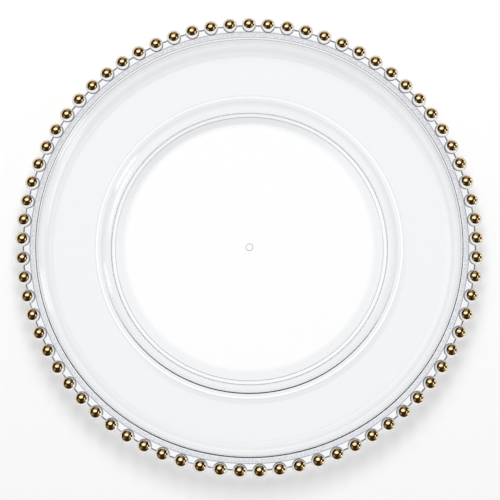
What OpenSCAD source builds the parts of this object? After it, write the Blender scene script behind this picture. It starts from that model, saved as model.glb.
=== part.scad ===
// Charger plate: one clear moulding with a beaded edge, and a gold cap on every bead.
// It stands on its foot ring at z = 0, centred on the z axis, with one bead at +Y.

/* [Overall] */
// Diameter across the beads
overall_d = 330; // [280:1:400]
// Thickness of the moulded wall
wall_t = 2.5; // [2:0.1:3.5]

/* [Well] */
// Height of the floor's underside above the table
floor_lift = 2.5; // [1.5:0.1:5]
// Diameter of the corner where the floor meets the well's wall
well_d = 201; // [192:1:208]
// Height from the floor up to the shoulder
well_depth = 6; // [4.5:0.1:8]
// Rounding at the bottom of the well's wall
well_round_r = 12; // [6:0.5:14]
// Distance from the wall's foot out to the shoulder
wall_run = 4; // [3:0.1:6]
// Width of the floor's edge, which rises gently towards the wall
ease_run = 11.5; // [8:0.5:15]
// Height that the floor's edge gains
ease_rise = 1.85; // [0.8:0.05:2.5]
// Rounding where the floor starts to rise
ease_round_r = 20; // [10:1:30]

/* [Foot and gate mark] */
// Distance from the wall's foot in to the middle of the foot ring
foot_inset = 3.3; // [2:0.1:5]
// Width of the foot ring
foot_w = 3.4; // [2.5:0.1:5]
// Rounding of the foot ring's edges
foot_round_r = 0.6; // [0.3:0.1:1]
// Diameter of the gate mark under the middle of the floor
gate_d = 5; // [3:0.1:8]
// Depth of the gate mark
gate_depth = 0.8; // [0.3:0.05:1.2]

/* [Shoulder and rim] */
// Rounding over the shoulder
shoulder_round_r = 1; // [0.5:0.1:2]
// Rounding under the shoulder
under_shoulder_r = 0.5; // [0.3:0.1:1]
// Distance from the shoulder out to the ridge round the rim
ridge_out = 4.2; // [3:0.1:6]
// Height of the ridge above the shoulder
ridge_rise = 0.65; // [0.3:0.05:1]
// Rounding over the ridge
ridge_round_r = 8; // [4:0.5:12]
// Distance from the ridge out to the dip behind it
dip_out = 4.5; // [3:0.1:8]
// Drop from the ridge into the dip
dip_drop = 0.47; // [0.2:0.01:0.8]
// Rounding in the dip
dip_round_r = 15; // [8:0.5:20]
// Height that the rim gains from the shoulder to the foot of the lip
rim_rise = 1.5; // [0.5:0.1:3]

/* [Lip] */
// Distance from the bead circle in to the crest of the lip
crest_inset = 9.2; // [8.5:0.1:11]
// Height of the crest above the rim's outer end
lip_h = 7.9; // [6:0.1:10]
// Distance from the lip's crest in to the foot of its inner side
lip_run = 7; // [5:0.1:9]
// Distance from the crest out to the foot of the lip's outer side
lip_out = 0.1; // [0:0.05:0.6]
// Rounding of the cove between the rim and the lip
cove_r = 19; // [8:0.5:20]
// Rounding of the cove's underside
under_cove_r = 12; // [8:0.5:20]
// Rounding over the crest
crest_round_r = 0.5; // [0.2:0.05:0.8]

/* [Beads] */
// Number of beads round the edge
bead_count = 73; // [50:1:84]
// Diameter of a bead
bead_d = 10.5; // [9.5:0.1:11.5]
// Height of the crest above the middle of the beads
bead_drop = 2.7; // [2:0.1:3.5]
// Thickness of the web that joins the beads
web_t = 2.2; // [1.6:0.1:3]
// Rounding between the web and the lip's outer side
strip_round_r = 0.3; // [0.1:0.05:0.5]
// Rounding under the web where it meets the lip
web_root_r = 0.6; // [0.3:0.1:1.2]

/* [Gold caps] */
// Diameter of a cap's edge
cap_d = 7.8; // [6:0.1:9]
// Thickness of a cap
cap_t = 0.25; // [0.2:0.05:0.5]
// Angle that a cap leans away from the plate's middle
cap_lean = 5; // [0:1:10]

/* [Hidden] */
caps_per_node = 2;
facets_round = 180;
facets_bead = 48;
small_steps = 3;
corner_steps = 6;
cove_steps = 10;
gate_round_share = 0.45;
wall_room_share = 0.9;
crest_room_share = 0.72;
strip_room_share = 0.2;

bead_r = bead_d / 2;
bead_circle_r = overall_d / 2 - bead_r;
bead_pitch = 360 / bead_count;
cap_groups = ceil(bead_count / caps_per_node);
cap_edge_h = sqrt(pow(bead_r, 2) - pow(cap_d / 2, 2));

well_r = well_d / 2;
foot_outer_r = well_r - foot_inset + foot_w / 2;
foot_inner_r = foot_outer_r - foot_w;
crest_r = bead_circle_r - crest_inset;

floor_top = floor_lift + wall_t;
shoulder_z = floor_top + well_depth;
rim_end_z = shoulder_z + rim_rise;
crest_z = rim_end_z + lip_h;
bead_z = crest_z - bead_drop;
web_top = bead_z + web_t / 2;
web_bottom = bead_z - web_t / 2;

function cap_node(g) = str("gold_caps_", g < 10 ? "0" : "", g);

// Unit vector from p to q
function toward(p, q) = (q - p) / norm(q - p);

// Vector a quarter turn clockwise from v, which is the underside of a line that runs outwards
function below(v) = [v[1], -v[0]];

// Where the line through p along u meets the line through q along v
function crossing(p, u, q, v) = p + u * ((q - p) * below(v)) / (u * below(v));

// Half of the angle at p between the points a and b
function half_angle(a, p, b) = acos(toward(p, a) * toward(p, b)) / 2;

// Middle of the arc of radius r that rounds the corner at p
function arc_middle(a, p, b, r) =
    p + toward([0, 0], toward(p, a) + toward(p, b)) * r / sin(half_angle(a, p, b));

// Arc of radius r that rounds the corner at p, between the points a and b
function rounded(a, p, b, r, steps) =
    let (
        half = half_angle(a, p, b),
        middle = arc_middle(a, p, b, r),
        first = p + toward(p, a) * r / tan(half) - middle,
        last = p + toward(p, b) * r / tan(half) - middle,
        turn = 180 - 2 * half
    )
    [for (i = [0 : steps]) middle
        + (first * sin(turn * (1 - i / steps)) + last * sin(turn * i / steps)) / sin(turn)];

// Corner at p of the line that runs a wall's thickness under the corners a, p and b
function under(a, p, b, t) =
    let (u = toward(a, p), v = toward(p, b))
    crossing(p + below(u) * t, u, p + below(v) * t, v);

axis_top = [0, floor_top];
floor_turn = [well_r - ease_run, floor_top];
well_corner = [well_r, floor_top + ease_rise];
shoulder = [well_r + wall_run, shoulder_z];
ridge = shoulder + [ridge_out, ridge_rise];
dip = ridge + [dip_out, -dip_drop];
lip_foot = [crest_r - lip_run, rim_end_z];
crest = [crest_r, crest_z];
strip_foot = [crest_r + lip_out, web_top];
web_end = [bead_circle_r, web_top];

under_turn = under(axis_top, floor_turn, well_corner, wall_t);
under_well = under(floor_turn, well_corner, shoulder, wall_t);
under_shoulder = under(well_corner, shoulder, lip_foot, wall_t);
under_lip_foot = under(shoulder, lip_foot, crest, wall_t);
web_root = crossing(under_lip_foot, toward(lip_foot, crest), [0, web_bottom], [1, 0]);

// Rounding of the well's wall, as far as the wall's underside has room for it
well_room = norm(under_shoulder - under_well) * tan(half_angle(floor_turn, well_corner, shoulder));
well_round = min(well_round_r, well_room * wall_room_share - wall_t);

// Roundings at the lip's outer side, as far as it has room for them
lip_side = norm(strip_foot - crest);
crest_round = min(crest_round_r, lip_side * crest_room_share * tan(half_angle(lip_foot, crest, strip_foot)));
strip_round = min(strip_round_r, lip_side * strip_room_share * tan(half_angle(crest, strip_foot, web_end)));

// Seen side, from the axis out to the web
function top_outline() = concat(
    [axis_top],
    rounded(axis_top, floor_turn, well_corner, ease_round_r, small_steps),
    rounded(floor_turn, well_corner, shoulder, well_round, corner_steps),
    rounded(well_corner, shoulder, ridge, shoulder_round_r, small_steps),
    rounded(shoulder, ridge, dip, ridge_round_r, small_steps),
    rounded(ridge, dip, lip_foot, dip_round_r, small_steps),
    rounded(dip, lip_foot, crest, cove_r, cove_steps),
    rounded(lip_foot, crest, strip_foot, crest_round, corner_steps),
    rounded(crest, strip_foot, web_end, strip_round, small_steps)
);

// Half-round outer edge of the web
function web_edge() =
    [for (i = [0 : corner_steps]) [bead_circle_r - web_t / 2, bead_z]
        + [sin(180 * i / corner_steps), cos(180 * i / corner_steps)] * web_t / 2];

// Arc that turns the underside up into the well's wall, and the radii where it starts and ends
bend_middle = arc_middle(floor_turn, well_corner, shoulder, well_round);
bend_r = well_round + wall_t;
bend_start_r = bend_middle[0] + bend_r * toward(floor_turn, well_corner)[1];
bend_end_r = bend_middle[0] + bend_r * toward(well_corner, shoulder)[1];

// Point of the underside at radius r, on the eased edge of the floor or on the arc
function underside(r) = r < bend_start_r
    ? crossing(under_turn, toward(floor_turn, well_corner), [r, 0], [0, 1])
    : [r, bend_middle[1] - sqrt(pow(bend_r, 2) - pow(r - bend_middle[0], 2))];

// Points of the underside from radius a to radius b
function underside_from(a, b) = [for (i = [0 : corner_steps]) underside(a + (b - a) * i / corner_steps)];

foot_outside = underside(foot_outer_r);
foot_inside = underside(foot_inner_r);
foot_toe = [foot_outer_r, 0];
foot_heel = [foot_inner_r, 0];
gate_edge = [gate_d / 2, floor_lift];
gate_corner = [gate_d / 2, floor_lift + gate_depth];
gate_middle = [0, floor_lift + gate_depth];
gate_round_r = gate_depth * gate_round_share;

// Underside, from the web back to the axis
function under_outline() = concat(
    rounded([bead_circle_r, web_bottom], web_root, under_lip_foot, web_root_r, small_steps),
    rounded(web_root, under_lip_foot, under_shoulder, under_cove_r, corner_steps),
    rounded(under_lip_foot, under_shoulder, underside(bend_end_r), under_shoulder_r, small_steps),
    underside_from(bend_end_r, max(foot_outer_r, bend_start_r)),
    foot_outer_r < bend_start_r ? [foot_outside] : [],
    rounded(foot_outside, foot_toe, foot_heel, foot_round_r, small_steps),
    rounded(foot_toe, foot_heel, foot_inside, foot_round_r, small_steps),
    foot_inner_r > bend_start_r ? underside_from(foot_inner_r, bend_start_r) : [foot_inside],
    rounded(foot_inside, under_turn, gate_edge, ease_round_r + wall_t, small_steps),
    rounded(under_turn, gate_edge, gate_corner, gate_round_r, small_steps),
    rounded(gate_edge, gate_corner, gate_middle, gate_round_r, small_steps),
    [gate_middle]
);

// Puts its children at bead number i, with x pointing out from the plate's middle
module at_bead(i) {
    rotate([0, 0, 90 - i * bead_pitch])
        translate([bead_circle_r, 0, bead_z])
            children();
}

// Everything of a bead that lies above the edge of its cap
module above_cap_edge() {
    rotate([0, cap_lean, 0])
        translate([0, 0, cap_edge_h])
            cylinder(h = bead_r, r = bead_r, $fn = facets_bead);
}

// Clear ball, turned down by the cap's thickness where the cap covers it
module clear_bead() {
    sphere(r = bead_r - cap_t, $fn = facets_bead);
    difference() {
        sphere(r = bead_r, $fn = facets_bead);
        above_cap_edge();
    }
}

// Thin gold shell that follows the top of a bead
module gold_cap() {
    difference() {
        intersection() {
            sphere(r = bead_r, $fn = facets_bead);
            above_cap_edge();
        }
        sphere(r = bead_r - cap_t, $fn = facets_bead);
    }
}

// The moulding: floor, foot ring, well, rim, lip and web in one turned shell, with its beads
module clear_plate() {
    color([0.9, 0.94, 0.98, 0.4]) {
        rotate_extrude($fn = facets_round)
            polygon(concat(top_outline(), web_edge(), under_outline()));
        for (i = [0 : bead_count - 1])
            at_bead(i) clear_bead();
    }
}

// One pair of neighbouring caps, or a single cap at the end of the ring
module gold_caps(g) {
    color([0.83, 0.62, 0.25])
        for (i = [(g - 1) * caps_per_node : min(g * caps_per_node, bead_count) - 1])
            at_bead(i) gold_cap();
}

clear_plate();
for (g = [1 : cap_groups])
    gold_caps(g);
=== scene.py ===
"""Looks of the clear charger plate with gold-capped beads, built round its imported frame."""

import math

import bmesh
import bpy
from mathutils import Matrix, Vector


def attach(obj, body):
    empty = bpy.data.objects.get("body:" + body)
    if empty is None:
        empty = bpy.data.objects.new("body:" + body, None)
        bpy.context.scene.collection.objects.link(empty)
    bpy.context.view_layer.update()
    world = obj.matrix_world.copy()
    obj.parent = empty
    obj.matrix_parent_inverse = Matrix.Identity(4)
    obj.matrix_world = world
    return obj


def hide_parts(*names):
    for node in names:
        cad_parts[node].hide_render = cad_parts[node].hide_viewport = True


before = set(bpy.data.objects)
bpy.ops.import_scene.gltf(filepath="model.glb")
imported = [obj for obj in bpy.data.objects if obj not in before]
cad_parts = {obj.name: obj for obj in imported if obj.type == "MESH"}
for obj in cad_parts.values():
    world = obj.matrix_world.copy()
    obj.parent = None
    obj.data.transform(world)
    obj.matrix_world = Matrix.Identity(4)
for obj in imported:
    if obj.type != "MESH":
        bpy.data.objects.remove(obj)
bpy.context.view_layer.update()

MM = 0.001

# The moulding, in millimetres, as in the construction
OVERALL_D = 330
WALL_T = 2.5
FLOOR_LIFT = 2.5
FOOT_W = 3.4
FOOT_INSET = 3.3
FOOT_ROUND_R = 0.6
WELL_D = 201
WELL_DEPTH = 6
WELL_ROUND_R = 12
EASE_RUN = 11.5
EASE_RISE = 1.85
EASE_ROUND_R = 20
GATE_D = 5
GATE_DEPTH = 0.8
WALL_RUN = 4
SHOULDER_ROUND_R = 1
UNDER_SHOULDER_R = 0.5
RIDGE_OUT = 4.2
RIDGE_RISE = 0.65
RIDGE_ROUND_R = 8
DIP_OUT = 4.5
DIP_DROP = 0.47
DIP_ROUND_R = 15
RIM_RISE = 1.5
COVE_R = 19
UNDER_COVE_R = 12
CREST_INSET = 9.2
LIP_H = 7.9
LIP_RUN = 7
CREST_ROUND_R = 0.5
LIP_OUT = 0.1
STRIP_ROUND_R = 0.3
WEB_ROOT_R = 0.6
BEAD_COUNT = 73
BEAD_D = 10.5
BEAD_DROP = 2.7
WEB_T = 2.2
WEB_ROUND_SHARE = 0.49
CAP_D = 7.8
CAP_T = 0.25
CAP_LEAN = 5
CAPS_PER_NODE = 2

GATE_ROUND_SHARE = 0.45

# Edges and joints that the construction leaves sharp
EDGE_ROUND_R = 0.25
CAP_SEAT_GAP = 0.01
CAP_EDGE_ROUND_R = 0.06
# How far short of a cap's edge, in degrees, its outer and inner faces end and its rounding starts
CAP_OUTER_STOP = 1
CAP_INNER_STOP = 0.5

# How finely the turned shapes are cut
PLATE_SEGMENTS = 4 * BEAD_COUNT
LONG_STEP = 7
EDGE_STEP = 0.4
BEND_STEPS = 8
BEAD_SEGMENTS = 32
BEAD_RINGS = 22
BEAD_SEAT_RINGS = 7
CAP_SEGMENTS = 40
CAP_RINGS = 12
CAP_EDGE_STEPS = 4
SHARP_ANGLE = math.radians(32)
ON_AXIS = 1e-6

# The moulding's material slots
BEAD_SLOT = 1
EDGE_SLOT = 2

# Where the parts of the moulding lie
bead_r = BEAD_D / 2
bead_circle_r = OVERALL_D / 2 - bead_r
cap_edge_h = math.sqrt(bead_r ** 2 - (CAP_D / 2) ** 2)
cap_edge_angle = math.degrees(math.asin(CAP_D / 2 / bead_r))
floor_top = FLOOR_LIFT + WALL_T
shoulder_z = floor_top + WELL_DEPTH
rim_end_z = shoulder_z + RIM_RISE
crest_z = rim_end_z + LIP_H
bead_z = crest_z - BEAD_DROP
web_top = bead_z + WEB_T / 2
web_bottom = bead_z - WEB_T / 2
well_corner_r = WELL_D / 2
shoulder_r = well_corner_r + WALL_RUN
foot_outer_r = well_corner_r - FOOT_INSET + FOOT_W / 2
foot_inner_r = foot_outer_r - FOOT_W
crest_r = bead_circle_r - CREST_INSET
lip_foot_r = crest_r - LIP_RUN
strip_r = crest_r + LIP_OUT


def below(v):
    """A vector a quarter turn clockwise from v."""
    return Vector((v.y, -v.x))


def crossing(p, u, q, v):
    """Where the line through p along u meets the line through q along v."""
    return p + u * ((q - p).dot(below(v)) / u.dot(below(v)))


def arc_centre(a, p, b, r):
    """The middle of the arc that rounds the corner p between a and b."""
    u = (a - p).normalized()
    v = (b - p).normalized()
    half = math.acos(max(-1, min(1, u.dot(v)))) / 2
    return p + (u + v).normalized() * r / math.sin(half)


def rounded(a, p, b, r, steps):
    """Points of the arc of radius r that rounds the corner p between a and b."""
    u = (a - p).normalized()
    v = (b - p).normalized()
    half = math.acos(max(-1, min(1, u.dot(v)))) / 2
    centre = arc_centre(a, p, b, r)
    first = p + u * r / math.tan(half) - centre
    last = p + v * r / math.tan(half) - centre
    turn = math.pi - 2 * half
    points = []
    for i in range(steps + 1):
        t = i / steps
        spoke = first * math.sin(turn * (1 - t)) + last * math.sin(turn * t)
        points.append(centre + spoke / math.sin(turn))
    return points


def under(a, p, b, t):
    """The corner at p of the line that runs t under the corners a, p and b."""
    u = (p - a).normalized()
    v = (b - p).normalized()
    return crossing(p + below(u) * t, u, p + below(v) * t, v)


def outline_from(corners):
    """Turns corners of (point, radius, steps) into points. Long straights get a point near each end."""
    points = []
    for i, (p, r, steps) in enumerate(corners):
        if r and 0 < i < len(corners) - 1:
            points += rounded(corners[i - 1][0], p, corners[i + 1][0], r, steps)
        else:
            points.append(p)
    dense = [points[0]]
    for p, q in zip(points, points[1:]):
        length = (q - p).length
        if length > 3 * EDGE_STEP:
            middle = length - 2 * EDGE_STEP
            dense.append(p + (q - p) * (EDGE_STEP / length))
            parts = max(1, round(middle / LONG_STEP))
            for k in range(1, parts):
                dense.append(p + (q - p) * ((EDGE_STEP + middle * k / parts) / length))
            dense.append(q - (q - p) * (EDGE_STEP / length))
        dense.append(q)
    return dense


def plate_outline():
    """The whole section of the moulding, from the axis out over the seen side and back underneath."""
    axis_top = Vector((0, floor_top))
    floor_turn = Vector((well_corner_r - EASE_RUN, floor_top))
    well_corner = Vector((well_corner_r, floor_top + EASE_RISE))
    shoulder = Vector((shoulder_r, shoulder_z))
    ridge = shoulder + Vector((RIDGE_OUT, RIDGE_RISE))
    dip = ridge + Vector((DIP_OUT, -DIP_DROP))
    lip_foot = Vector((lip_foot_r, rim_end_z))
    crest = Vector((crest_r, crest_z))
    strip_foot = Vector((strip_r, web_top))
    under_shoulder = under(well_corner, shoulder, lip_foot, WALL_T)
    under_lip_foot = under(shoulder, lip_foot, crest, WALL_T)
    lip_way = (crest - lip_foot).normalized()
    web_root = crossing(under_lip_foot, lip_way, Vector((0, web_bottom)), Vector((1, 0)))
    under_turn = under(axis_top, floor_turn, well_corner, WALL_T)
    ease = (well_corner - floor_turn).normalized()
    wall = (shoulder - well_corner).normalized()
    centre = arc_centre(floor_turn, well_corner, shoulder, WELL_ROUND_R)
    bend_r = WELL_ROUND_R + WALL_T
    bend_start_r = centre.x + bend_r * ease.y
    bend_end_r = centre.x + bend_r * wall.y

    def underside(r):
        """The underside at radius r: below the floor's eased edge, or on the arc up into the wall."""
        if r < bend_start_r:
            return crossing(under_turn, ease, Vector((r, 0)), Vector((0, 1)))
        return Vector((r, centre.y - math.sqrt(bend_r ** 2 - (r - centre.x) ** 2)))

    bend_in_r = max(foot_outer_r, bend_start_r)
    bend = [underside(bend_end_r + (bend_in_r - bend_end_r) * i / BEND_STEPS) for i in range(BEND_STEPS)]
    foot_outside = underside(foot_outer_r)
    foot_inside = underside(foot_inner_r)
    return outline_from([
        (axis_top, 0, 0),
        (floor_turn, EASE_ROUND_R, 8),
        (well_corner, WELL_ROUND_R, 20),
        (shoulder, SHOULDER_ROUND_R, 10),
        (ridge, RIDGE_ROUND_R, 10),
        (dip, DIP_ROUND_R, 6),
        (lip_foot, COVE_R, 26),
        (crest, CREST_ROUND_R, 12),
        (strip_foot, STRIP_ROUND_R, 6),
        (Vector((bead_circle_r, web_top)), WEB_T * WEB_ROUND_SHARE, 8),
        (Vector((bead_circle_r, web_bottom)), WEB_T * WEB_ROUND_SHARE, 8),
        (web_root, WEB_ROOT_R, 6),
        (under_lip_foot, UNDER_COVE_R, 10),
        (under_shoulder, UNDER_SHOULDER_R, 8),
        *[(p, 0, 0) for p in bend],
        (foot_outside, EDGE_ROUND_R, 4),
        (Vector((foot_outer_r, 0)), FOOT_ROUND_R, 8),
        (Vector((foot_inner_r, 0)), FOOT_ROUND_R, 8),
        (foot_inside, EDGE_ROUND_R, 4),
        (under_turn, EASE_ROUND_R + WALL_T, 6),
        (Vector((GATE_D / 2, FLOOR_LIFT)), GATE_DEPTH * GATE_ROUND_SHARE, 4),
        (Vector((GATE_D / 2, FLOOR_LIFT + GATE_DEPTH)), GATE_DEPTH * GATE_ROUND_SHARE, 4),
        (Vector((0, FLOOR_LIFT + GATE_DEPTH)), 0, 0),
    ])


def turn_into(bm, outline, segments, place=Matrix.Identity(4)):
    """Adds to bm the closed shape that an outline (in mm, axis to axis) makes when turned about z."""
    rings = []
    for p in outline:
        angles = [0] if p.x < ON_AXIS else [2 * math.pi * k / segments for k in range(segments)]
        spots = [Vector((p.x * math.cos(a), p.x * math.sin(a), p.y)) * MM for a in angles]
        rings.append([bm.verts.new(place @ spot) for spot in spots])
    for low, high in zip(rings, rings[1:]):
        for k in range(segments):
            n = (k + 1) % segments
            face = [low[k % len(low)], high[k % len(high)], high[n % len(high)], low[n % len(low)]]
            kept = [v for i, v in enumerate(face) if v not in face[:i]]
            if len(kept) > 2:
                bm.faces.new(kept)


def piece_from(bm, name, *materials):
    """Makes an object of the mesh in bm, with its shading finished."""
    bmesh.ops.recalc_face_normals(bm, faces=bm.faces)
    mesh = bpy.data.meshes.new(name)
    bm.to_mesh(mesh)
    bm.free()
    obj = bpy.data.objects.new(name, mesh)
    bpy.context.scene.collection.objects.link(obj)
    for material in materials:
        mesh.materials.append(material)
    finish_shading(mesh)
    return obj


def finish_shading(mesh):
    """Shades a mesh smooth, but for its sharp corners."""
    mesh.polygons.foreach_set("use_smooth", [True] * len(mesh.polygons))
    mesh.set_sharp_from_angle(angle=SHARP_ANGLE)


def bead_place(i):
    """The frame of bead i: x points out from the middle of the plate, z up along its cap's axis."""
    turn = Matrix.Rotation(math.radians(90 - i * 360 / BEAD_COUNT), 4, "Z")
    shift = Matrix.Translation(Vector((bead_circle_r, 0, bead_z)) * MM)
    return turn @ shift @ Matrix.Rotation(math.radians(CAP_LEAN), 4, "Y")


def arc(r, first, last, steps):
    """Points at radius r from one angle below the axis's top to another, in degrees."""
    angles = [math.radians(first + (last - first) * i / steps) for i in range(steps + 1)]
    return [Vector((r * math.sin(a), r * math.cos(a))) for a in angles]


def bead_outline():
    """A clear bead: full size below the edge of its cap, and a cap's thickness less above it."""
    seat_r = bead_r - CAP_T - CAP_SEAT_GAP
    seat_angle = math.degrees(math.acos(cap_edge_h / seat_r))
    return arc(seat_r, 0, seat_angle, BEAD_SEAT_RINGS) + arc(bead_r, cap_edge_angle, 180, BEAD_RINGS)


def cap_outline():
    """A gold cap: a shell on the bead's sphere with a rounded edge."""
    seat_r = bead_r - CAP_T
    seat_angle = math.degrees(math.acos(cap_edge_h / seat_r))
    outer = arc(bead_r, 0, cap_edge_angle - CAP_OUTER_STOP, CAP_RINGS)
    inner = arc(seat_r, seat_angle - CAP_INNER_STOP, 0, CAP_RINGS)
    corner_out = Vector((CAP_D / 2, cap_edge_h))
    corner_in = Vector((seat_r * math.sin(math.radians(seat_angle)), cap_edge_h))
    rim = rounded(outer[-1], corner_out, corner_in, CAP_EDGE_ROUND_R, CAP_EDGE_STEPS)
    return outer + rim + [corner_in] + inner


def make_plate(clear, bead, edge):
    """The moulding: the turned shell and its beads, joined into one clear body."""
    shell = bmesh.new()
    turn_into(shell, plate_outline(), PLATE_SEGMENTS)
    # The web's rounded edge takes the material with the painted dark line
    edge_start = (bead_circle_r - WEB_T * WEB_ROUND_SHARE) * MM
    for face in shell.faces:
        if min(v.co.xy.length for v in face.verts) > edge_start:
            face.material_index = EDGE_SLOT
    plate = piece_from(shell, "clear_moulding", clear, bead, edge)
    balls = bmesh.new()
    for i in range(BEAD_COUNT):
        turn_into(balls, bead_outline(), BEAD_SEGMENTS, bead_place(i))
    for face in balls.faces:
        face.material_index = BEAD_SLOT
    tool = piece_from(balls, "bead_balls", clear, bead, edge)
    join = plate.modifiers.new("join_beads", "BOOLEAN")
    join.operation = "UNION"
    join.solver = "MANIFOLD"
    join.object = tool
    joined = plate.evaluated_get(bpy.context.evaluated_depsgraph_get())
    whole = bpy.data.meshes.new_from_object(joined)
    plate.modifiers.clear()
    plate.data = whole
    bpy.data.objects.remove(tool)
    finish_shading(whole)
    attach(plate, "root")
    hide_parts("clear_plate")


def make_caps(material):
    """The gold caps, in the same pairs as the construction's nodes."""
    groups = math.ceil(BEAD_COUNT / CAPS_PER_NODE)
    for g in range(groups):
        bm = bmesh.new()
        for i in range(g * CAPS_PER_NODE, min((g + 1) * CAPS_PER_NODE, BEAD_COUNT)):
            turn_into(bm, cap_outline(), CAP_SEGMENTS, bead_place(i))
        node = f"gold_caps_{g + 1:02d}"
        cap = piece_from(bm, f"gold_film_{g + 1:02d}", material)
        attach(cap, "root")
        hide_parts(node)


def new_material(name):
    """A material with an empty node tree. Returns it with its nodes and links."""
    mat = bpy.data.materials.new(name)
    mat.use_nodes = True
    mat.node_tree.nodes.clear()
    return mat, mat.node_tree.nodes, mat.node_tree.links


def feed(links, value, socket):
    """Gives a socket the output of a node, or a colour, a vector or a number."""
    if isinstance(value, bpy.types.NodeSocket):
        links.new(value, socket)
    elif socket.type == "RGBA":
        socket.default_value = (*value, 1)
    else:
        socket.default_value = value


def math_node(nodes, links, operation, *values):
    """A Math node of outputs or numbers. Returns its output."""
    node = nodes.new("ShaderNodeMath")
    node.operation = operation
    for value, socket in zip(values, node.inputs):
        feed(links, value, socket)
    return node.outputs[0]


def vector_node(nodes, links, operation, *values, scale=None):
    """A Vector Math node of outputs or vectors. Returns its output."""
    node = nodes.new("ShaderNodeVectorMath")
    node.operation = operation
    for value, socket in zip(values, node.inputs):
        feed(links, value, socket)
    if scale is not None:
        links.new(scale, node.inputs["Scale"])
    return node.outputs["Value" if operation == "LENGTH" else "Vector"]


def map_range(nodes, links, value, low, high, at_low, at_high, ends="LINEAR"):
    """A Map Range node that holds its value past both ends. Returns its output."""
    node = nodes.new("ShaderNodeMapRange")
    node.interpolation_type = ends
    numbers = {"From Min": low, "From Max": high, "To Min": at_low, "To Max": at_high}
    for name, number in numbers.items():
        node.inputs[name].default_value = number
    links.new(value, node.inputs["Value"])
    return node.outputs["Result"]


def smooth_step(nodes, links, value, low, high, at_low, at_high):
    """A Map Range node with smooth ends. Returns its output."""
    return map_range(nodes, links, value, low, high, at_low, at_high, "SMOOTHSTEP")


def blend(nodes, links, share, first, second):
    """The colour that goes from the first to the second as the share goes from 0 to 1."""
    node = nodes.new("ShaderNodeMix")
    node.data_type = "RGBA"
    links.new(share, node.inputs["Factor"])
    feed(links, first, node.inputs["A"])
    feed(links, second, node.inputs["B"])
    return node.outputs["Result"]


def mix_shaders(nodes, links, share, first, second):
    """The shader that goes from the first to the second as the share goes from 0 to 1."""
    node = nodes.new("ShaderNodeMixShader")
    links.new(share, node.inputs["Fac"])
    links.new(first, node.inputs[1])
    links.new(second, node.inputs[2])
    return node.outputs["Shader"]


def object_point(nodes):
    """The shaded point, in metres from the middle of the plate's foot."""
    return nodes.new("ShaderNodeTexCoord").outputs["Object"]


def noise(nodes, links, scale, detail):
    """The height of a noise at the shaded point."""
    texture = nodes.new("ShaderNodeTexNoise")
    texture.inputs["Scale"].default_value = scale
    texture.inputs["Detail"].default_value = detail
    links.new(object_point(nodes), texture.inputs["Vector"])
    return texture.outputs["Fac"]


def radius_of(nodes, links):
    """How far out from the plate's axis the shaded point lies, in metres."""
    level = vector_node(nodes, links, "MULTIPLY", object_point(nodes), (1, 1, 0))
    return vector_node(nodes, links, "LENGTH", level)


def levelness(nodes, links):
    """1 on a level surface and 0 on an upright one."""
    normal = nodes.new("ShaderNodeSeparateXYZ")
    links.new(nodes.new("ShaderNodeNewGeometry").outputs["Normal"], normal.inputs["Vector"])
    return math_node(nodes, links, "ABSOLUTE", normal.outputs["Z"])


PLASTIC_IOR = 1.5
# The plastic's faint unevenness: how fine it is, and the range of noise that gives its range of roughness
HAZE_SCALE = 90
HAZE_DETAIL = 3
HAZE_RANGE = (0.35, 0.75)
PLASTIC_ROUGHNESS = (0.006, 0.022)
# Share of the lamps' light that an upright surface lets through, and the levelness from there to a level one
STEEP_LETS = 0.9
STEEP_LEVELNESS = (0.4, 0.99)

# Share of the lamps' light that a level surface lets through: in the well, in the rim and lip, and in the web
WELL_LETS = (0.99, 0.99, 0.992)
RIM_LETS = (0.985, 0.987, 0.99)
WEB_LETS = (0.96, 0.963, 0.97)
# The moulding's zones from the middle outwards: where each starts and half the width that it blends in over,
# in metres, what it lets through, and its colour, which is the plastic's faint tint with painted light and
# shade: darker bands, painted dark lines, and untinted lines that stand in for highlights
CLEAR_ZONES = {
    "well": (0, 0, WELL_LETS, (0.96, 0.962, 0.965)),
    # Painted shade: a darker band where the floor eases up towards the well's corner
    "eased_edge_shade": (0.0885, 0.0025, WELL_LETS, (0.865, 0.874, 0.892)),
    # Painted light: an almost untinted band along the well's corner
    "well_corner": (0.0955, 0.001, WELL_LETS, (0.985, 0.99, 0.997)),
    # Painted shade: a darker band over the top of the well's wall and its shoulder
    "rim_start": (0.1035, 0.0025, RIM_LETS, (0.855, 0.867, 0.887)),
    # Painted highlight: an untinted light line along the ridge
    "ridge_highlight": (0.1076, 0.0003, RIM_LETS, (1, 1, 1)),
    # Painted shadow: a dark line just outside the ridge
    "ridge_foot_shadow": (0.1087, 0.0003, RIM_LETS, (0.79, 0.805, 0.835)),
    # The rim's tint, partly the plastic's own and partly painted shade
    "rim": (0.1096, 0.0004, RIM_LETS, (0.868, 0.88, 0.9)),
    # Painted light: a lighter tint over the cove's upper part
    "rim_end": (0.141, 0.003, RIM_LETS, (0.915, 0.922, 0.937)),
    # Painted highlight: an almost untinted light line low on the lip
    "lip_highlight": (0.1450, 0.0004, RIM_LETS, (0.975, 0.985, 1)),
    "lip": (0.1471, 0.0005, RIM_LETS, (0.89, 0.9, 0.92)),
    # Painted shade: a dark line along the lip's crest
    "crest_shade_line": (0.1499, 0.00015, RIM_LETS, (0.38, 0.39, 0.45)),
    # Painted highlight: the crest left untinted as a light line beside its dark one
    "crest": (0.1503, 0.00015, RIM_LETS, (1, 1, 1)),
    # Painted shade on the strip between the crest and the beads, mottled like the moulding's fine texture
    "strip": (0.1512, 0.0003, WEB_LETS, (0.625, 0.637, 0.695)),
    # Painted shade: a dark line where the beads rise from the web
    "strip_shade_line": (0.1543, 0.0002, WEB_LETS, (0.3, 0.31, 0.36)),
    "web": (0.1548, 0.0002, WEB_LETS, (0.93, 0.935, 0.955)),
}
ZONE_LETS = 2
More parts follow.
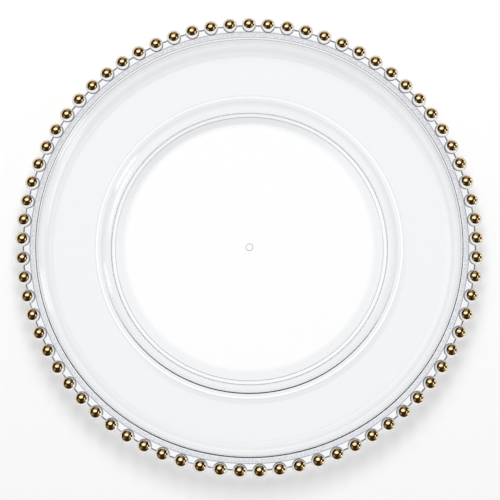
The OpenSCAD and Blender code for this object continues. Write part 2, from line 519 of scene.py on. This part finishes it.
ZONE_TINT_AND_SHADE = 3
# The zone that is mottled: how fine its mottling is, and the range of noise that takes it from its least
# share of the zone's colour, which is painted shade, to all of it
MOTTLED_ZONE = "strip"
MOTTLE_SCALE = 800
MOTTLE_DETAIL = 3
MOTTLE_RANGE = (0.35, 0.62)
MOTTLE_LEAST_SHARE = 0.35

# The foot ring's sides get painted shade that shows as fine dark lines: its colour, how high up it goes, the
# height over which it fades, the levelness from side to face, and the face's share of the colour
FOOT_SIDE_SHADE = (0.22, 0.27, 0.35)
FOOT_SIDE_TOP = 0.0018
FOOT_SIDE_FADE = 0.0005
FOOT_FACE_LEVELNESS = (0.9, 0.999)
FOOT_FACE_SHARE = 0.16

BEAD_LETS = (0.95, 0.953, 0.96)
BEAD_MIDDLE = (0.945, 0.93, 0.905)
# Painted shade for the beads' dark outlines
BEAD_OUTLINE_SHADE = (0.05, 0.053, 0.065)
# The slant to the eye from a bead's middle colour to its outline's painted shade, the radii between which its
# inner side turns into its outer side, and the outer side's share of the outline's painted shade
BEAD_OUTLINE_SLANT = (0.26, 0.52)
BEAD_INNER_R = (0.157, 0.1605)
BEAD_OUTER_SHARE = 0.25

# The web's rounded edge: what it lets through, and its painted shade, a dark line from bead to bead
EDGE_LETS = (0.7, 0.71, 0.73)
EDGE_SHADE = (0.2, 0.205, 0.23)


def by_radius(nodes, links, entry):
    """An entry of CLEAR_ZONES that goes from one zone's to the next as the radius grows."""
    radius = radius_of(nodes, links)
    (_, innermost), *others = CLEAR_ZONES.items()
    colour = innermost[entry]
    for name, zone in others:
        start, soft = zone[:ZONE_LETS]
        share = smooth_step(nodes, links, radius, start - soft, start + soft, 0, 1)
        if name == MOTTLED_ZONE:
            mottle = noise(nodes, links, MOTTLE_SCALE, MOTTLE_DETAIL)
            uneven = smooth_step(nodes, links, mottle, *MOTTLE_RANGE, MOTTLE_LEAST_SHARE, 1)
            share = math_node(nodes, links, "MULTIPLY", share, uneven)
        colour = blend(nodes, links, share, colour, zone[entry])
    return colour


def shell_look(nodes, links):
    """The shell's tint with its painted light and shade, and what it lets through, by radius, with painted
    shade on the foot ring's sides.
    """
    place = nodes.new("ShaderNodeSeparateXYZ")
    links.new(object_point(nodes), place.inputs["Vector"])
    foot_end = FOOT_SIDE_TOP + FOOT_SIDE_FADE
    foot = smooth_step(nodes, links, place.outputs["Z"], FOOT_SIDE_TOP, foot_end, 1, 0)
    side = smooth_step(nodes, links, levelness(nodes, links), *FOOT_FACE_LEVELNESS, 1, FOOT_FACE_SHARE)
    share = math_node(nodes, links, "MULTIPLY", foot, side)
    colour = blend(nodes, links, share, by_radius(nodes, links, ZONE_TINT_AND_SHADE), FOOT_SIDE_SHADE)
    return colour, by_radius(nodes, links, ZONE_LETS)


def bead_look(nodes, links):
    """A clear bead with painted shade: darker towards its outline, most of all on its side towards the plate,
    where its gold cap leaves the ball free. The shade stands in for the dark room that the ball bends into
    view."""
    slant = nodes.new("ShaderNodeLayerWeight").outputs["Facing"]
    outline = smooth_step(nodes, links, slant, *BEAD_OUTLINE_SLANT, 0, 1)
    inner = smooth_step(nodes, links, radius_of(nodes, links), *BEAD_INNER_R, 1, BEAD_OUTER_SHARE)
    share = math_node(nodes, links, "MULTIPLY", outline, inner)
    return blend(nodes, links, share, BEAD_MIDDLE, BEAD_OUTLINE_SHADE), BEAD_LETS


def edge_look(_nodes, _links):
    """The web's rounded edge, with painted shade that shows as a grey line from bead to bead."""
    return EDGE_SHADE, EDGE_LETS


def clear_material(name, look):
    """Water-clear moulded plastic, with the faint unevenness that moulding leaves. The lamps' light passes
    through it without being bent, so that its shadow stays plain."""
    mat, nodes, links = new_material(name)
    colour, lets_through = look(nodes, links)
    out = nodes.new("ShaderNodeOutputMaterial")
    plastic = nodes.new("ShaderNodeBsdfPrincipled")
    plastic.inputs["Transmission Weight"].default_value = 1
    plastic.inputs["IOR"].default_value = PLASTIC_IOR
    # The look's colour carries the painted light and shade of the zones, the foot ring, the beads and the
    # web's edge
    feed(links, colour, plastic.inputs["Base Color"])
    haze = noise(nodes, links, HAZE_SCALE, HAZE_DETAIL)
    rough = map_range(nodes, links, haze, *HAZE_RANGE, *PLASTIC_ROUGHNESS)
    links.new(rough, plastic.inputs["Roughness"])
    lets = smooth_step(nodes, links, levelness(nodes, links), *STEEP_LEVELNESS, STEEP_LETS, 1)
    through = nodes.new("ShaderNodeBsdfTransparent")
    links.new(vector_node(nodes, links, "SCALE", lets_through, scale=lets), through.inputs["Color"])
    path = nodes.new("ShaderNodeLightPath")
    seen = plastic.outputs["BSDF"]
    for ray in ("Is Diffuse Ray", "Is Shadow Ray"):
        seen = mix_shaders(nodes, links, path.outputs[ray], seen, through.outputs["BSDF"])
    links.new(seen, out.inputs["Surface"])
    return mat


# The gold's two tones, how fine its patches are, and the range of noise that gives its range of roughness
GOLD_DARK = (0.78, 0.565, 0.27)
GOLD_LIGHT = (0.91, 0.69, 0.4)
GOLD_PATCH_SCALE = 420
GOLD_PATCH_DETAIL = 4
GOLD_PATCH_RANGE = (0.3, 0.8)
GOLD_ROUGHNESS = (0.06, 0.13)


def gold_material():
    """Mirror-bright gold film with slight patches of tone and shine."""
    mat, nodes, links = new_material("gold_foil")
    out = nodes.new("ShaderNodeOutputMaterial")
    gold = nodes.new("ShaderNodeBsdfPrincipled")
    gold.inputs["Metallic"].default_value = 1
    patches = noise(nodes, links, GOLD_PATCH_SCALE, GOLD_PATCH_DETAIL)
    links.new(blend(nodes, links, patches, GOLD_DARK, GOLD_LIGHT), gold.inputs["Base Color"])
    rough = map_range(nodes, links, patches, *GOLD_PATCH_RANGE, *GOLD_ROUGHNESS)
    links.new(rough, gold.inputs["Roughness"])
    links.new(gold.outputs["BSDF"], out.inputs["Surface"])
    return mat


# The photograph's view, in degrees, metres and pixels of the 500 pixel frame
VIEW_ELEVATION = 79.66
VIEW_DISTANCE = 1.4
VIEW_CENTRE = Vector((0, 0, 0.010))
VIEW_END = 20
PIXELS_PER_RADIAN = 1976
FRAME_PX = 500
PLATE_CENTRE_PX = (249.4, 245.65)
SENSOR_MM = 36


def make_camera():
    """The photograph's camera: from just south of straight above, aimed so that the plate sits as framed."""
    camera = bpy.data.objects.new("camera", bpy.data.cameras.new("camera"))
    bpy.context.scene.collection.objects.link(camera)
    camera.data.sensor_width = SENSOR_MM
    camera.data.lens = PIXELS_PER_RADIAN / FRAME_PX * SENSOR_MM
    elevation = math.radians(VIEW_ELEVATION)
    away = Vector((0, -math.cos(elevation), math.sin(elevation)))
    up = Vector((0, math.sin(elevation), math.cos(elevation)))
    camera.location = VIEW_CENTRE + away * VIEW_DISTANCE
    per_px = VIEW_DISTANCE / PIXELS_PER_RADIAN
    right_px = FRAME_PX / 2 - PLATE_CENTRE_PX[0]
    down_px = FRAME_PX / 2 - PLATE_CENTRE_PX[1]
    aim = VIEW_CENTRE + Vector((right_px * per_px, 0, 0)) - up * (down_px * per_px)
    camera.rotation_euler = (camera.location - aim).to_track_quat("Z", "Y").to_euler()
    camera.data.clip_end = VIEW_END
    bpy.context.scene.camera = camera


FLOOR_SIZE = 12
FLOOR_COLOUR = (0.93, 0.93, 0.93)
# Share of plain white that gloss and glass show of the floor near the plate, a painted light that lightens
# the plate's shadow as seen through the plastic, and the radii over which it ends
FLOOR_WHITE_NEAR = 0.65
FLOOR_NEAR_R = (0.2, 0.5)
# The radii over which the far floor turns plain white to the camera, well outside the plate and its shadow
FLOOR_FAR_R = (0.4, 1.2)


def make_floor():
    """A white floor that keeps the plate's shadow, with painted light near the plate where gloss and glass
    show it.
    """
    bm = bmesh.new()
    bmesh.ops.create_grid(bm, x_segments=1, y_segments=1, size=FLOOR_SIZE / 2)
    mat, nodes, links = new_material("floor")
    out = nodes.new("ShaderNodeOutputMaterial")
    paint = nodes.new("ShaderNodeBsdfDiffuse")
    feed(links, FLOOR_COLOUR, paint.inputs["Color"])
    glow = nodes.new("ShaderNodeEmission")
    glow.inputs["Strength"].default_value = 1
    distance = vector_node(nodes, links, "LENGTH", object_point(nodes))
    near = smooth_step(nodes, links, distance, *FLOOR_NEAR_R, FLOOR_WHITE_NEAR, 0)
    far = smooth_step(nodes, links, distance, *FLOOR_FAR_R, 0, 1)
    path = nodes.new("ShaderNodeLightPath").outputs
    shiny = math_node(nodes, links, "MAXIMUM", path["Is Glossy Ray"], path["Is Transmission Ray"])
    by_gloss = math_node(nodes, links, "MULTIPLY", shiny, near)
    by_eye = math_node(nodes, links, "MULTIPLY", path["Is Camera Ray"], far)
    share = math_node(nodes, links, "MAXIMUM", by_gloss, by_eye)
    seen = mix_shaders(nodes, links, share, paint.outputs["BSDF"], glow.outputs["Emission"])
    links.new(seen, out.inputs["Surface"])
    floor = piece_from(bm, "floor", mat)


# Key lamps side by side, so that the beads' shadows run together: azimuth east of north, elevation, distance,
# width, height and radiance. They add their light and shadow, and aren't mirrored.
KEY_LAMPS = {
    "key_west": (-20.5, 62.5, 3.2, 1.0, 2.3, 6.72),
    "key_east": (20.5, 62.5, 3.2, 1.0, 2.3, 6.72),
}
WHITE = (1, 1, 1)
# The room's plain light on all but gloss and glass
ROOM_FILL = 0.168
# The dark room as gloss and glass show it
ROOM_DARK = 0.035
ROOM_DARK_COLOUR = (1, 0.62, 0.3)
# Its bright and pale parts: their colour, and for each its azimuth east of north, its elevation, its half
# widths along x, y and z on the sphere of directions, the share of the width that is soft, and its strength
ROOM_LIT_COLOUR = (0.8, 0.8, 0.8)
ROOM_LIT = {
    "overhead": (-30, 69, (0.62, 0.42, 0.45), 0.3, 1.9),
    "right": (98, 42, (0.16, 0.27, 0.16), 0.4, 2),
    "north_sweep": (5, 32, (0.6, 0.6, 0.6), 0.8, 0.42),
    "south_east": (128, 28, (0.45, 0.5, 0.5), 0.8, 0.36),
    "south_west": (238, 30, (0.45, 0.5, 0.5), 0.8, 0.36),
    "east_window_left": (67, 9, (0.5, 0.13, 0.15), 0.4, 3.6),
    "east_window_right": (112, 10, (0.5, 0.18, 0.16), 0.4, 3.6),
}


def way_to(azimuth, elevation):
    """Unit vector towards an azimuth, clockwise from north (+Y), and an elevation."""
    a, e = math.radians(azimuth), math.radians(elevation)
    return Vector((math.sin(a) * math.cos(e), math.cos(a) * math.cos(e), math.sin(e)))


def add_lamp(name, azimuth, elevation, distance, width, height, radiance):
    """A soft rectangular lamp high above that faces the plate, with its width level."""
    data = bpy.data.lights.new(name, "AREA")
    data.shape = "RECTANGLE"
    data.size = width
    data.size_y = height
    data.energy = radiance * math.pi * width * height
    lamp = bpy.data.objects.new(name, data)
    bpy.context.scene.collection.objects.link(lamp)
    back = way_to(azimuth, elevation)
    level = Vector((0, 1, 0)).cross(back).normalized()
    turn = Matrix((level, back.cross(level), back)).transposed()
    lamp.matrix_world = Matrix.Translation(back * distance) @ turn.to_4x4()
    lamp.visible_glossy = False
    lamp.visible_transmission = False


def background(nodes, links, colour, strength):
    """A Background node. Returns its output."""
    node = nodes.new("ShaderNodeBackground")
    feed(links, colour, node.inputs["Color"])
    feed(links, strength, node.inputs["Strength"])
    return node.outputs["Background"]


def make_studio():
    """A dark room, white to the camera, with bright parts for the plate to mirror, and the key lamps."""
    world = bpy.data.worlds.new("studio")
    bpy.context.scene.world = world
    world.use_nodes = True
    nodes, links = world.node_tree.nodes, world.node_tree.links
    nodes.clear()
    out = nodes.new("ShaderNodeOutputWorld")
    direction = nodes.new("ShaderNodeTexCoord").outputs["Generated"]
    light = 0
    for azimuth, elevation, widths, soft, strength in ROOM_LIT.values():
        way = way_to(azimuth, elevation)
        stretch = [1 / w for w in widths]
        shift = [-a / w for a, w in zip(way, widths)]
        off = vector_node(nodes, links, "MULTIPLY_ADD", direction, stretch, shift)
        far = vector_node(nodes, links, "LENGTH", off)
        patch = smooth_step(nodes, links, far, 1 - soft, 1, strength, 0)
        light = math_node(nodes, links, "ADD", patch, light)
    room = nodes.new("ShaderNodeAddShader")
    links.new(background(nodes, links, ROOM_LIT_COLOUR, light), room.inputs[0])
    links.new(background(nodes, links, ROOM_DARK_COLOUR, ROOM_DARK), room.inputs[1])
    path = nodes.new("ShaderNodeLightPath")
    seen = room.outputs["Shader"]
    for ray, strength in (("Is Diffuse Ray", ROOM_FILL), ("Is Camera Ray", 1)):
        plain = background(nodes, links, WHITE, strength)
        seen = mix_shaders(nodes, links, path.outputs[ray], seen, plain)
    links.new(seen, out.inputs["Surface"])
    for name, setting in KEY_LAMPS.items():
        add_lamp(name, *setting)


make_camera()
make_studio()
make_floor()
make_plate(
    clear_material("clear_plastic", shell_look),
    clear_material("clear_bead", bead_look),
    clear_material("clear_edge", edge_look),
)
make_caps(gold_material())

bpy.context.scene.view_settings.view_transform = "Standard"
